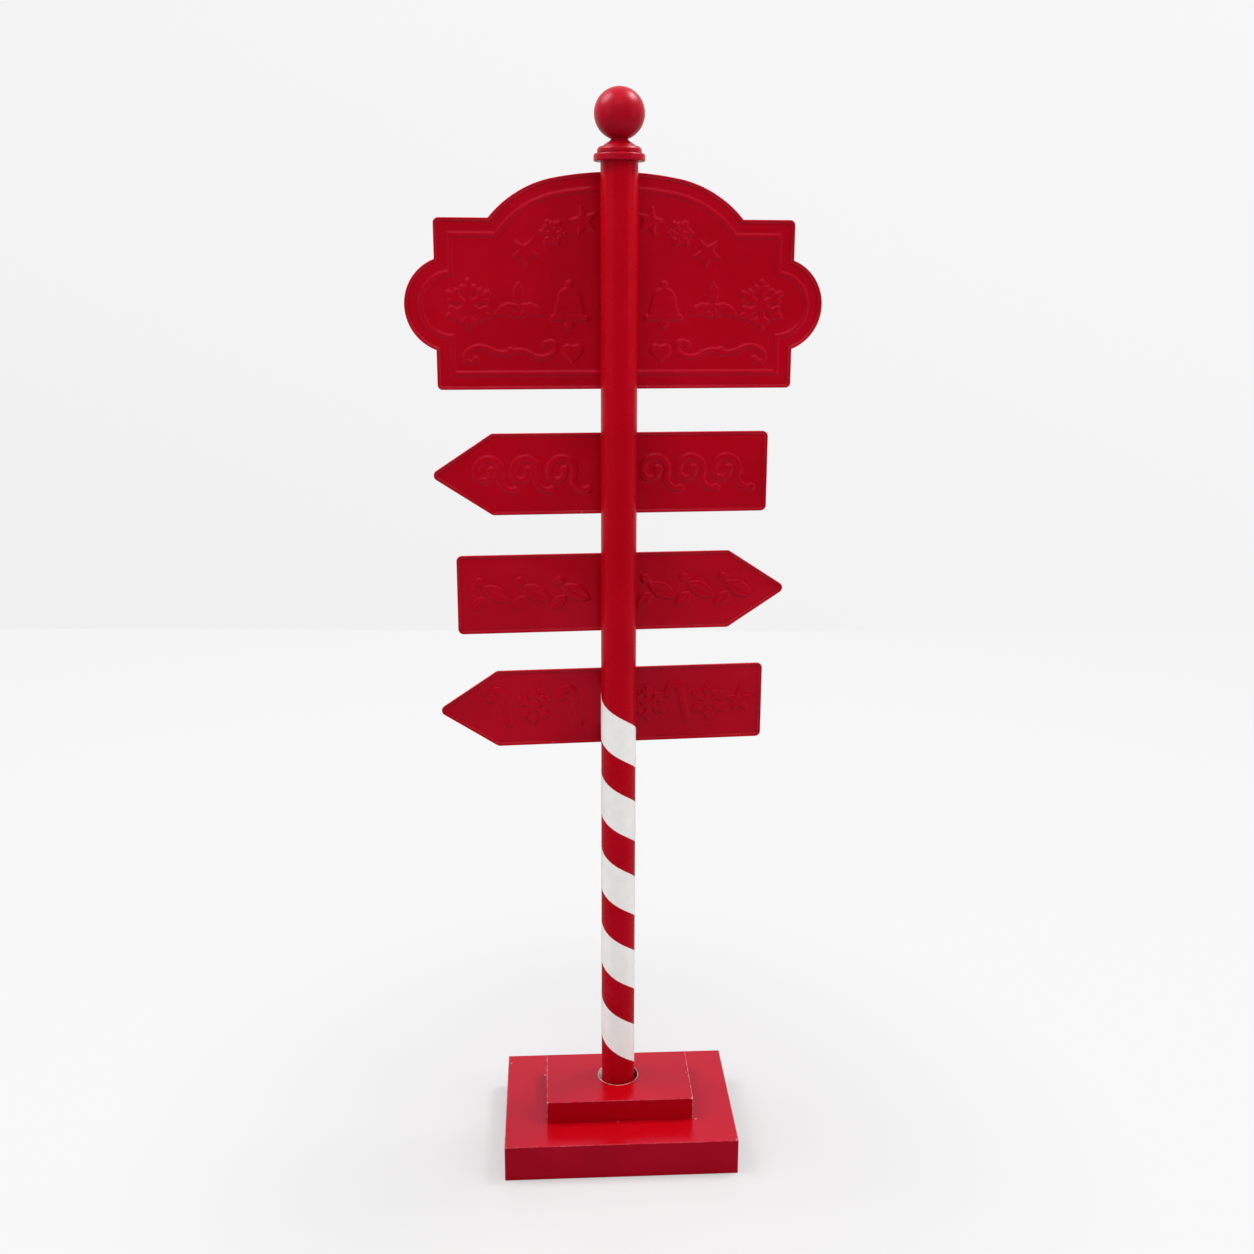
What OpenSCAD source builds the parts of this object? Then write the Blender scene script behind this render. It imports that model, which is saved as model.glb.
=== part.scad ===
// A free-standing Christmas signpost.
// Origin on the floor, on the pole's axis. X runs along the boards, the boards hang on the +Y side
// of the pole, and Z is up. Seen from -Y the pole stands in front of the boards.

/* [Base] */
// Width of the lower tier
lower_w = 352; // [280:1:500]
// Depth of the lower tier
lower_d = 249; // [200:1:400]
// Height of the lower tier
lower_h = 56; // [45:1:80]
// Width of the upper tier
upper_w = 225; // [160:1:260]
// Depth of the upper tier
upper_d = 133; // [110:1:180]
// Height of the upper tier
upper_h = 36; // [25:1:60]
// Hole in the upper tier that the pole stands in
socket_d = 62; // [56:1:70]
// How far the base is turned from square with the boards, in degrees
base_turn = -4; // [-10:0.5:10]
// How far the pole stands behind the base's middle
pole_set = 6; // [0:0.5:12]
// Rounding of the base's edges
edge_r = 1.5; // [0.5:0.5:4]

/* [Pole] */
// Diameter of the pole
pole_d = 51; // [40:1:54]
// Height of the pole's top above the floor
pole_top = 1465; // [1450:1:1700]

/* [Stripe] */
// Width of the white band, across the band
stripe_w = 51; // [20:1:80]
// Thickness of the band
stripe_t = 0.3; // [0.2:0.05:1]
// Height of the band's middle where it first crosses the -Y side
stripe_z = 660.5; // [655:0.5:662]
// Fall of the band in its first turn
stripe_fall = 116; // [90:0.5:150]
// Extra fall that each turn adds to the one before
stripe_stretch = 3; // [0:0.5:6]

/* [Finial] */
// Diameter of the ball
ball_d = 68; // [50:0.5:90]
// Height of the ball's middle above the pole's top
ball_rise = 60.5; // [58:0.5:65]
// Diameter of the wide ring at the foot of the finial
ring_d = 69.5; // [60:0.1:80]
// Thickness of the wide ring
ring_t = 10; // [7:0.5:10]
// Diameter of the dome on the ring
dome_d = 59.8; // [52:0.1:60]
// Thickness of the dome
dome_t = 9.5; // [8:0.5:11]
// Diameter of the neck under the ball
neck_d = 22.5; // [16:0.5:24]

/* [Boards] */
// Thickness of the sheet
sheet_t = 1; // [0.8:0.1:1.4]
// Width of the folded hem
hem_w = 5; // [4:0.5:8]
// Height of the hem behind the sheet
hem_h = 3; // [2.5:0.5:5]
// Height of the pressed relief
relief_h = 1.6; // [1.2:0.1:2]
// Distance from the edge to the border bead
bead_in = 19; // [14:0.5:24]
// Width of the border bead
bead_w = 6; // [4:0.5:8]

/* [Top board] */
// Width of the straight part
sign_w = 500; // [440:1:560]
// Height of the straight part
sign_h = 230; // [220:1:240]
// Height of the straight part's middle above the floor
sign_z = 1278; // [1270:1:1290]
// Rounding of its corners
sign_r = 7; // [5.5:0.5:10]
// Rise of the arch above the shoulders
arch_rise = 61; // [50:1:70]
// Radius of the arch's flat middle
arch_top_r = 455; // [400:1:500]
// Radius of the arch's round sides
arch_side_r = 156; // [140:1:170]
// Half the angle that the flat middle covers
arch_turn = 11; // [8:0.5:14]
// Radius of the round lobes at the sides
lobe_r = 65; // [50:1:80]
// How far the lobes stand out
lobe_out = 42; // [30:1:50]

/* [Arrow boards] */
// Height of a board
arrow_h = 116; // [100:1:130]
// From the pole's axis to the rounded tip
arrow_tip = 255; // [230:1:290]
// From the pole's axis to the square end
arrow_butt = 224; // [200:1:250]
// Length of the point
arrow_point = 82; // [60:1:110]
// Rounding of the corners
arrow_r = 8; // [6.5:0.5:12]
// Height of the upper board's middle
upper_arrow_z = 1044; // [1010:1:1070]
// Height of the middle board's middle
middle_arrow_z = 870; // [850:1:890]
// Height of the lower board's middle
lower_arrow_z = 697; // [690:1:720]
// How far the upper board is hung to the side, along X
upper_arrow_slide = -4.5; // [-10:0.5:10]
// How far the middle board is hung to the side, along X
middle_arrow_slide = -7; // [-10:0.5:10]
// How far the lower board is hung to the side, along X
lower_arrow_slide = -3.5; // [-10:0.5:10]

/* [Fixings] */
// Shank of the board screws
screw_d = 4; // [3:0.5:5]
// How deep a board screw goes into the pole
screw_grip = 28; // [15:1:40]
// Distance between the two screws of an arrow board
screw_gap = 56; // [40:1:70]
// Distance between the screws of the top board
sign_screw_gap = 80; // [60:1:84]
// Shank of the bolt in the pole's foot
bolt_d = 10; // [8:1:12]
// Dowel between finial and pole
dowel_d = 12; // [8:1:16]
// Length of the dowel
dowel_l = 50; // [30:1:56]

/* [Hidden] */
$fn = 96;

red = [0.66, 0.01, 0.07];
white = [0.9, 0.89, 0.88];
steel = [0.62, 0.63, 0.65];
brass = [0.8, 0.64, 0.35];
beech = [0.82, 0.68, 0.5];

pole_r = pole_d / 2;
sheet_y = pole_r + hem_h;
arrow_side = arrow_h / 2;
sign_top = sign_h / 2;
arch_low = 30;

// Screws of the tiers, bolt, washer and insert
tier_screw_x = 85;
tier_screw_y = 42;
tier_screw_d = 5;
tier_screw_l = 50;
tier_screw_sink = 25;
tier_screw_head = 9;
bolt_head_af = 17;
bolt_head_t = 6.4;
bolt_sink = 16;
washer_d = 30;
washer_t = 2.5;
sink_d = 34;
bolt_l = 60;
insert_d = 16;
insert_l = 30;
board_head_d = 8;
board_head_t = 2.6;
screw_play = 0.5;

// Heights of the screws, from the middle of their board
arrow_screws = [-screw_gap / 2, screw_gap / 2];
sign_screws = [-sign_screw_gap, 0, sign_screw_gap];

// Where the stripe starts and ends, in turns from the -Y side, and its steps in a turn
stripe_from = -0.42;
stripe_to = 4.78;
stripe_steps = 60;
stripe_clear = 0.05;

// Flat shapes

// Rectangle with round corners, about the origin
module round_rect(w, h, r) {
    square([w - 2 * r, h], center = true);
    square([w, h - 2 * r], center = true);
    for (sx = [-1, 1], sy = [-1, 1])
        translate([sx * (w / 2 - r), sy * (h / 2 - r)])
            circle(r);
}

// Straight stroke with square ends
module stroke(a, b, w) {
    along = b - a;
    translate(a)
        rotate(atan2(along.y, along.x))
            translate([0, -w / 2])
                square([norm(along), w]);
}

// Curved stroke with square ends, about a centre, from one angle to another
module bend(centre, r, from, to, w) {
    parts = ceil(abs(to - from) / 45);
    reach = 1.5 * (r + w);
    function at(i) = from + (to - from) * i / parts;
    translate(centre)
        intersection() {
            difference() {
                circle(r + w / 2);
                circle(r - w / 2);
            }
            polygon(concat([[0, 0]], [for (i = [0:parts]) reach * [cos(at(i)), sin(at(i))]]));
        }
}

// Curved line of arcs that run smoothly on, from a point and a heading. Each arc is its radius,
// the angle that it turns to the left, and its width. The next one is tucked in by a degree.
// It ends in a round dot of dot_w.
module vine(start, heading, arcs, less, dot_w, i = 0) {
    if (i < len(arcs)) {
        r = arcs[i][0];
        turn = arcs[i][1];
        side = sign(turn);
        from = heading - 90 * side;
        centre = start - r * [cos(from), sin(from)];
        bend(centre, r, from - side, from + turn, arcs[i][2] - 2 * less);
        vine(centre + r * [cos(from + turn), sin(from + turn)], heading + turn, arcs, less, dot_w, i + 1);
    } else
        translate(start)
            circle(d = dot_w - 2 * less);
}

// Convex outline with round corners, shrunk by inset: the corners stay concentric
module round_outline(points, r, inset) {
    n = len(points);
    function unit(v) = v / norm(v);
    function left(v) = [-v.y, v.x];
    function edge(i) = unit(points[(i + 1) % n] - points[i % n]);
    function corner(i) =
        let (back = edge(i + n - 1), ahead = edge(i), turn = acos(back * ahead))
        points[i] + r / cos(turn / 2) * unit(left(back) + left(ahead));
    centres = [for (i = [0:n - 1]) corner(i)];
    small = r - inset;
    polygon([for (i = [0:n - 1], e = [i + n - 1, i]) centres[i] - small * left(edge(e))]);
    for (c = centres)
        translate(c)
            circle(small);
}

// Outline of the top board, shrunk by inset
module sign_outline(inset) {
    side_c = (arch_top_r - arch_side_r) * [sin(arch_turn), cos(arch_turn)];
    arch_c = sign_top + arch_rise - arch_top_r;
    spring = [arch_top_r * sin(arch_turn), arch_top_r * cos(arch_turn)];
    round_rect(sign_w - 2 * inset, sign_h - 2 * inset, sign_r > inset ? sign_r - inset : sign_r / 2);
    for (s = [-1, 1])
        translate([s * (sign_w / 2 + lobe_out - lobe_r), 0])
            circle(lobe_r - inset);
    intersection() {
        translate([0, arch_c])
            union() {
                intersection() {
                    circle(arch_top_r - inset, $fn = 360);
                    polygon([[0, 0], 1.2 * [spring.x, spring.y], 1.2 * [-spring.x, spring.y]]);
                }
                for (s = [-1, 1])
                    translate([s * side_c.x, side_c.y])
                        circle(arch_side_r - inset, $fn = 180);
            }
        translate([-sign_w / 2, sign_top - arch_low])
            square([sign_w, arch_rise + 2 * arch_low]);
    }
}

// Outline of an arrow board that points to -X, shrunk by inset
module arrow_outline(inset) {
    slope = atan(arrow_side / (arrow_point + arrow_r * 0.6));
    sharp_tip = arrow_tip + arrow_r * (1 / sin(slope) - 1);
    round_outline([[-sharp_tip, 0], [-arrow_tip + arrow_point, -arrow_side],
                   [arrow_butt, -arrow_side], [arrow_butt, arrow_side],
                   [-arrow_tip + arrow_point, arrow_side]], arrow_r, inset);
}

// Ornaments of the relief. Each is drawn about its own middle, and less is how much narrower
// it is made on every side for the hollow in front.

module star(r, less) {
    inner = 0.45 * r;
    tip = r * [1, 0];
    hollow = inner * [cos(36), sin(36)];
    reach = abs(tip.x * hollow.y - tip.y * hollow.x) / norm(tip - hollow);
    k = (reach - less) / reach;
    polygon([for (i = [0:9]) k * (i % 2 == 0 ? r : inner) * [cos(90 + i * 36), sin(90 + i * 36)]]);
}

module snowflake(r, w, less) {
    for (a = [30, 90, 150])
        stroke(r * [cos(a), sin(a)], -r * [cos(a), sin(a)], w - 2 * less);
    for (a = [30:60:330], turn = [-55, 55])
        stroke(0.52 * r * [cos(a), sin(a)],
               0.52 * r * [cos(a), sin(a)] + 0.36 * r * [cos(a + turn), sin(a + turn)],
               w - 2 * less);
}

module bell(size, less) {
    dome = 0.44 * size - less;
    translate([0, 0.18 * size])
        circle(dome);
    polygon([[-0.44 * size + less, 0.18 * size], [-0.62 * size + less, -0.52 * size + less],
             [0.62 * size - less, -0.52 * size + less], [0.44 * size - less, 0.18 * size]]);
    stroke([-0.7 * size, -0.5 * size], [0.7 * size, -0.5 * size], 0.22 * size - 2 * less);
    translate([0, -0.74 * size])
        circle(0.17 * size - less);
    translate([0, 0.7 * size])
        circle(0.14 * size - less);
}

// Leaf between two arcs, along an angle
module leaf(length, wide, angle, less) {
    r = (length * length / 4 + wide * wide / 4) / wide;
    rotate(angle)
        intersection_for (s = [-1, 1])
            translate([0, s * (r - wide / 2)])
                circle(r - less);
}

module holly(size, less) {
    for (s = [-1, 1])
        translate([s * 0.52 * size, -0.1 * size])
            leaf(size, 0.46 * size, s * -24, less);
    translate([0, 0.52 * size])
        leaf(0.9 * size, 0.42 * size, 90, less);
    for (a = [90, 210, 330])
        translate(0.17 * size * [cos(a), sin(a)] + [0, -0.2 * size])
            circle(0.14 * size - less);
}

module cane(size, w, less) {
    stroke([0.3 * size, -size], [0.3 * size, 0.65 * size], w - 1 - 2 * less);
    vine([0.3 * size, 0.62 * size], 90, [[0.3 * size, 190, w]], less, 1.3 * w);
}

module heart(size, less) {
    for (s = [-1, 1])
        translate([s * 0.32 * size, 0.2 * size])
            circle(0.4 * size - less);
    rotate(45)
        translate([-0.05 * size, -0.05 * size])
            square(0.86 * size - 2 * less, center = true);
}

// Long flourish with a curl at each end, the same both ways from its middle
module flourish(w, less) {
    circle(0.9 * w - less);
    for (a = [0, 180])
        rotate(a)
            vine([0, 0], -18, [[34, 50, w], [26, -78, 0.92 * w], [8, -190, 0.84 * w]], less, 1.4 * w);
}

// Relief of the top board, drawn for the right half and mirrored
module sign_relief(less) {
    row_z = -78;
    row_r = 195;
    row_step = 13.5;
    for (s = [0, 1])
        mirror([s, 0]) {
            for (i = [1:3])
                translate([0, row_z])
                    rotate(-row_step * i)
                        translate([0, row_r])
                            if (i == 2) snowflake(r = 18, w = 5.5, less = less);
                            else star(r = 20, less = less);
            translate([205, 0])
                snowflake(r = 34, w = 8, less = less);
            translate([136, -3])
                holly(size = 35, less = less);
            translate([66, 1])
                bell(size = 37, less = less);
            translate([148, -64])
                flourish(w = 7, less = less);
            translate([62, -66])
                heart(size = 20, less = less);
        }
}

// Reliefs of the arrow boards, from the point to the square end. The middle stays free for the pole.
module scroll_relief(less) {
    w = 9;
    for (x = [-161, -109, -57, 77, 129, 181]) {
        vine([x, -2], 70, [[18, 220, w], [11, 175, 0.9 * w]], less, 1.35 * w);
        vine([x, -1], -110, [[17, 125, 0.9 * w]], less, 1.2 * w);
    }
}

module garland_relief(less) {
    for (x = [-190, -132, -74, 52, 110, 168])
        translate([x, 0]) {
            leaf(length = 46, wide = 22, angle = 28, less = less);
            translate([26, -14])
                leaf(length = 30, wide = 16, angle = -42, less = less);
            translate([24, 18])
                circle(6.5 - less);
        }
}

module treat_relief(less) {
    for (x = [-170, -66, 95])
        translate([x, 0])
            rotate(12)
                cane(size = 30, w = 9, less = less);
    for (x = [-120, 51, 142])
        translate([x, 0])
            snowflake(r = 26, w = 7, less = less);
    translate([191, 0])
        star(r = 23, less = less);
}

// Base

// Block with rounded upright and top edges, standing on z = 0
module tier(w, d, h) {
    intersection() {
        linear_extrude(h)
            round_rect(w, d, edge_r);
        rotate([90, 0, 0])
            linear_extrude(2 * d, center = true)
                union() {
                    translate([0, h / 2])
                        round_rect(w, h, edge_r);
                    translate([0, edge_r])
                        square([w, 2 * edge_r], center = true);
                }
        rotate([90, 0, 90])
            linear_extrude(2 * w, center = true)
                union() {
                    translate([0, h / 2])
                        round_rect(d, h, edge_r);
                    translate([0, edge_r])
                        square([d, 2 * edge_r], center = true);
                }
    }
}

// Children at the four screws of the tiers
module at_tier_screws() {
    for (sx = [-1, 1], sy = [-1, 1])
        translate([sx * tier_screw_x, sy * tier_screw_y - pole_set, 0])
            children();
}

module base_lower_tier() {
    color(red)
        rotate(base_turn)
            difference() {
                translate([0, -pole_set, 0])
                    tier(lower_w, lower_d, lower_h);
                translate([0, 0, -1])
                    cylinder(d = bolt_d + 1, h = lower_h + 2);
                translate([0, 0, -1])
                    cylinder(d = sink_d, h = bolt_sink + 1);
                at_tier_screws() {
                    translate([0, 0, -1])
                        cylinder(d = tier_screw_head + 1, h = tier_screw_sink + 1);
                    cylinder(d = tier_screw_d, h = lower_h + 1);
                }
            }
}

module base_upper_tier() {
    color(red)
        rotate(base_turn)
            difference() {
                translate([0, -pole_set, lower_h])
                    tier(upper_w, upper_d, upper_h);
                translate([0, 0, lower_h - 1])
                    cylinder(d = socket_d, h = upper_h + 2);
                at_tier_screws()
                    cylinder(d = tier_screw_d, h = tier_screw_sink + tier_screw_l);
            }
}

module base_tier_screws() {
    color(steel)
        rotate(base_turn)
            at_tier_screws() {
                translate([0, 0, tier_screw_sink])
                    cylinder(d = tier_screw_d, h = tier_screw_l);
                translate([0, 0, tier_screw_sink - 3])
                    difference() {
                        cylinder(d = tier_screw_head, h = 3);
                        translate([0, 0, -1])
                            linear_extrude(2.5)
                                for (a = [0, 90])
                                    rotate(a)
                                        square([5, 1.2], center = true);
                    }
            }
}

// Pole and what is in its ends

// Children at a board screw: its axis is local z, which runs into the pole from the front of the sheet
module at_screws(z, rows) {
    for (dz = rows)
        translate([0, sheet_y + sheet_t, z + dz])
            rotate([90, 0, 0])
                children();
}

module pole() {
    depth = hem_h + sheet_t + screw_grip;
    color(red)
        difference() {
            translate([0, 0, lower_h])
                cylinder(d = pole_d, h = pole_top - lower_h, $fn = 180);
            translate([0, 0, lower_h - 1])
                cylinder(d = insert_d, h = insert_l + 1);
            translate([0, 0, lower_h - 1])
                cylinder(d = bolt_d + 1, h = insert_l + 12);
            translate([0, 0, pole_top - dowel_l / 2])
                cylinder(d = dowel_d, h = dowel_l);
            at_screws(sign_z, sign_screws)
                cylinder(d = screw_d, h = depth);
            for (z = [upper_arrow_z, middle_arrow_z, lower_arrow_z])
                at_screws(z, arrow_screws)
                    cylinder(d = screw_d, h = depth);
        }
}

// Fall of the band's middle after some turns
function stripe_drop(turns) = stripe_fall * turns + stripe_stretch / 2 * turns * turns;

// Half of the band's height along the pole, from its slope there
function stripe_half(turns) =
    let (slope = (stripe_fall + stripe_stretch * turns) / (PI * pole_d))
    stripe_w / 2 * sqrt(1 + slope * slope);

// The band's four corners after some turns: inside and outside, top and bottom
function stripe_ring(turns) =
    let (a = 360 * turns - 90,
         inside = pole_r + stripe_clear,
         middle = stripe_z - stripe_drop(turns),
         top = middle + stripe_half(turns),
         low = max(middle - stripe_half(turns), lower_h + 0.5))
    [for (p = [[inside, low], [inside + stripe_t, low], [inside + stripe_t, top], [inside, top]])
        [p[0] * cos(a), p[0] * sin(a), p[1]]];

module white_stripe() {
    rings = ceil((stripe_to - stripe_from) * stripe_steps);
    points = [for (i = [0:rings], p = stripe_ring(stripe_from + (stripe_to - stripe_from) * i / rings)) p];
    sides = [for (i = [0:rings - 1], k = [0:3])
        let (a = 4 * i + k, b = 4 * i + (k + 1) % 4)
        [a, b, b + 4, a + 4]];
    ends = [[3, 2, 1, 0], [4 * rings, 4 * rings + 1, 4 * rings + 2, 4 * rings + 3]];
    color(white)
        polyhedron(points, concat(sides, ends), convexity = 10);
}

module pole_insert() {
    color(brass)
        translate([0, 0, lower_h])
            difference() {
                cylinder(d = insert_d, h = insert_l);
                translate([0, 0, -1])
                    cylinder(d = bolt_d, h = insert_l + 2);
            }
}

module pole_bolt() {
    head = bolt_sink - washer_t - bolt_head_t;
    color(steel)
        union() {
            translate([0, 0, head])
                cylinder(d = bolt_head_af / cos(30), h = bolt_head_t, $fn = 6);
            translate([0, 0, head])
                cylinder(d = bolt_d, h = bolt_head_t + bolt_l);
        }
}

module pole_washer() {
    color(steel)
        translate([0, 0, bolt_sink - washer_t])
            difference() {
                cylinder(d = washer_d, h = washer_t);
                translate([0, 0, -1])
                    cylinder(d = bolt_d + 0.5, h = washer_t + 2);
            }
}

// Half section of a turned ring from z = 0 up, with a round upper and lower edge
module ring_half(r, t, upper_r, lower_r) {
    square([r - upper_r, t]);
    square([r - lower_r, t / 2]);
    translate([0, lower_r])
        square([r, t - lower_r - upper_r]);
    translate([r - upper_r, t - upper_r])
        circle(upper_r);
    translate([r - lower_r, lower_r])
        circle(lower_r);
}

module finial() {
    dome_r = dome_d / 2;
    neck_r = neck_d / 2;
    dome_top = ring_t + dome_t;
    ring_round = 3.6;
    ring_under = 1.6;
    groove_in = 1.2;
    groove_h = 1.6;
    dome_round = 7.2;
    flare = 0.72 * dome_r;
    neck_h = 2.4;
    bevel = 0.6;
    neck_z = ball_rise - sqrt(ball_d * ball_d - neck_d * neck_d) / 2;
    color(red)
        translate([0, 0, pole_top])
            difference() {
                union() {
                    rotate_extrude($fn = 128)
                        union() {
                            ring_half(ring_d / 2, ring_t, ring_round, ring_under);
                            translate([0, ring_t - 1])
                                ring_half(dome_r - groove_in, groove_h + 0.4, 0.2, 0.2);
                            translate([0, ring_t + groove_h - 1])
                                ring_half(dome_r, dome_t - groove_h + 1, dome_round, 1);
                            polygon([[0, dome_top - 1], [flare, dome_top - 1], [flare, dome_top + bevel],
                                     [neck_r + bevel, neck_z - neck_h - bevel], [neck_r, neck_z - neck_h],
                                     [neck_r, ball_rise], [0, ball_rise]]);
                        }
                    translate([0, 0, ball_rise])
                        sphere(d = ball_d, $fn = 128);
                }
                translate([0, 0, -1])
                    cylinder(d = dowel_d, h = dowel_l / 2 + 1);
            }
}

module finial_dowel() {
    color(beech)
        translate([0, 0, pole_top - dowel_l / 2])
            cylinder(d = dowel_d, h = dowel_l);
}

// Boards

// Children drawn flat, x along the board and y up, stood up behind the pole at a height.
// Local z = 0 is the back of the sheet, and local z = hem_h touches the pole.
module on_pole(z) {
    translate([0, sheet_y, z])
        rotate([90, 0, 0])
            children();
}

module board_outline(kind, inset) {
    if (kind == "sign") sign_outline(inset);
    else arrow_outline(inset);
}

module board_relief(kind, less) {
    if (kind == "sign") {
        difference() {
            sign_outline(bead_in + less);
            sign_outline(bead_in + bead_w - less);
        }
        sign_relief(less);
    }
    if (kind == "scroll") scroll_relief(less);
    if (kind == "garland") garland_relief(less);
    if (kind == "treats") treat_relief(less);
}

// One pressed sheet. Its edge is folded back twice, into an upright flange and a lip, and its
// relief stands out behind and is hollow in front.
module pressed_sheet(kind) {
    fold = hem_h - sheet_t;
    difference() {
        translate([0, 0, -sheet_t])
            linear_extrude(sheet_t + hem_h)
                board_outline(kind, 0);
        linear_extrude(relief_h)
            difference() {
                board_outline(kind, sheet_t);
                board_relief(kind, 0);
            }
        translate([0, 0, relief_h])
            linear_extrude(fold - relief_h)
                board_outline(kind, sheet_t);
        translate([0, 0, fold])
            linear_extrude(2 * sheet_t)
                board_outline(kind, hem_w);
        translate([0, 0, -2 * sheet_t])
            linear_extrude(sheet_t + relief_h)
                board_relief(kind, sheet_t);
    }
}

// Children hung on the pole at a height and a little to the side, with holes for the screws
module hung_board(z, slide, screws) {
    color(red)
        on_pole(z)
            difference() {
                translate([slide, 0, 0])
                    children();
                for (y = screws)
                    translate([0, y, -2 * sheet_t])
                        cylinder(d = screw_d + screw_play, h = 3 * sheet_t);
            }
}

module top_board() {
    hung_board(sign_z, 0, sign_screws)
        pressed_sheet("sign");
}

module upper_arrow_board() {
    hung_board(upper_arrow_z, upper_arrow_slide, arrow_screws)
        pressed_sheet("scroll");
}

module middle_arrow_board() {
    hung_board(middle_arrow_z, middle_arrow_slide, arrow_screws)
        mirror([1, 0, 0])
            pressed_sheet("garland");
}

module lower_arrow_board() {
    hung_board(lower_arrow_z, lower_arrow_slide, arrow_screws)
        pressed_sheet("treats");
}

// Pan-head screws through a sheet into the pole, head on the front of the sheet
module board_screws(z, rows) {
    shank = sheet_t + hem_h + screw_grip;
    color(steel)
        at_screws(z, rows)
            difference() {
                union() {
                    cylinder(d = screw_d, h = shank);
                    translate([0, 0, -board_head_t])
                        cylinder(d = board_head_d, h = board_head_t);
                }
                translate([0, 0, -board_head_t - 1])
                    linear_extrude(2.4)
                        for (a = [0, 90])
                            rotate(a)
                                square([4.6, 1], center = true);
            }
}

module top_board_screws() {
    board_screws(sign_z, sign_screws);
}

module upper_arrow_screws() {
    board_screws(upper_arrow_z, arrow_screws);
}

module middle_arrow_screws() {
    board_screws(middle_arrow_z, arrow_screws);
}

module lower_arrow_screws() {
    board_screws(lower_arrow_z, arrow_screws);
}

base_lower_tier();
base_upper_tier();
base_tier_screws();
pole();
white_stripe();
pole_insert();
pole_bolt();
pole_washer();
finial();
finial_dowel();
top_board();
top_board_screws();
upper_arrow_board();
upper_arrow_screws();
middle_arrow_board();
middle_arrow_screws();
lower_arrow_board();
lower_arrow_screws();
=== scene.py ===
import math
import bpy
import numpy as np
from mathutils import Matrix, Vector
from mathutils.geometry import delaunay_2d_cdt


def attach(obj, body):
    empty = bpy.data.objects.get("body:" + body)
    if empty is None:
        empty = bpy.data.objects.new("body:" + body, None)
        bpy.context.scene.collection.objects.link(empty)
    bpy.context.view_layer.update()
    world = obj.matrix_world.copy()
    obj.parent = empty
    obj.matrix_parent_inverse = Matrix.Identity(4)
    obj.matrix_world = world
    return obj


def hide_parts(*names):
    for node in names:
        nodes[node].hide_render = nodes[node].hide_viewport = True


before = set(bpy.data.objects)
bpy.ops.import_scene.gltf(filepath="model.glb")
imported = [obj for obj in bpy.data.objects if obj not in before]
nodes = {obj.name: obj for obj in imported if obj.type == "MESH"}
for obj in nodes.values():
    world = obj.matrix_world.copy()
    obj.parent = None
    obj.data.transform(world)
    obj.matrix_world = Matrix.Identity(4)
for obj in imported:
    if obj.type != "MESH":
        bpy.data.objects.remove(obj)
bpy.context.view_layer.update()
mm = 0.001


# Small helpers for node trees, shader and geometry alike

def put(tree, kind, inputs=None, **settings):
    made = tree.nodes.new(kind)
    for key, value in settings.items():
        setattr(made, key, value)
    for spot, value in (inputs or {}).items():
        if isinstance(value, bpy.types.NodeSocket):
            tree.links.new(value, made.inputs[spot])
        else:
            made.inputs[spot].default_value = value
    return made


def calc(tree, operation, *values):
    return put(tree, "ShaderNodeMath", dict(enumerate(values)), operation=operation).outputs[0]


def vectorCalc(tree, operation, *values):
    made = put(tree, "ShaderNodeVectorMath", dict(enumerate(values)), operation=operation)
    return made.outputs["Value" if operation in ("DISTANCE", "LENGTH") else "Vector"]


def noise(tree, where, scale, detail=2.0, roughness=0.5):
    return put(tree, "ShaderNodeTexNoise", {"Vector": where, "Scale": scale, "Detail": detail,
                                            "Roughness": roughness}).outputs[0]


def ramp(tree, value, low, high, toLow=0.0, toHigh=1.0, smooth=True):
    return put(tree, "ShaderNodeMapRange", {"Value": value, "From Min": low, "From Max": high,
                                            "To Min": toLow, "To Max": toHigh},
               interpolation_type="SMOOTHSTEP" if smooth else "LINEAR").outputs[0]


def blendColor(tree, share, first, second):
    made = put(tree, "ShaderNodeMix", data_type="RGBA")
    for spot, value in ((0, share), (6, first), (7, second)):
        if isinstance(value, bpy.types.NodeSocket):
            tree.links.new(value, made.inputs[spot])
        else:
            made.inputs[spot].default_value = value
    return made.outputs[2]


def newMaterial(name):
    material = bpy.data.materials.new(name)
    material.use_nodes = True
    tree = material.node_tree
    tree.nodes.clear()
    shader = put(tree, "ShaderNodeBsdfPrincipled")
    output = put(tree, "ShaderNodeOutputMaterial")
    tree.links.new(shader.outputs[0], output.inputs["Surface"])
    where = put(tree, "ShaderNodeTexCoord").outputs["Object"]
    return material, tree, shader, where


# Paint

redPaint = {
    "sheet": ((0.37, 0.0007, 0.006, 1), (0.42, 0.001, 0.008, 1)),
    "pole": ((0.38, 0.0005, 0.0045, 1), (0.42, 0.0007, 0.0065, 1)),
    "finial": ((0.325, 0.0004, 0.008, 1), (0.36, 0.0006, 0.011, 1)),
    "base": ((0.34, 0.0006, 0.003, 1), (0.37, 0.0008, 0.004, 1)),
    "cloudScale": 7.0,
    "peelScale": 420.0,       # orange peel of the sprayed coat
    "peelDepth": 0.00003,
    "wornAndHighlight": (0.78, 0.45, 0.45, 1),
    "bareAndLit": (0.98, 0.87, 0.79, 1),
}


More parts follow.
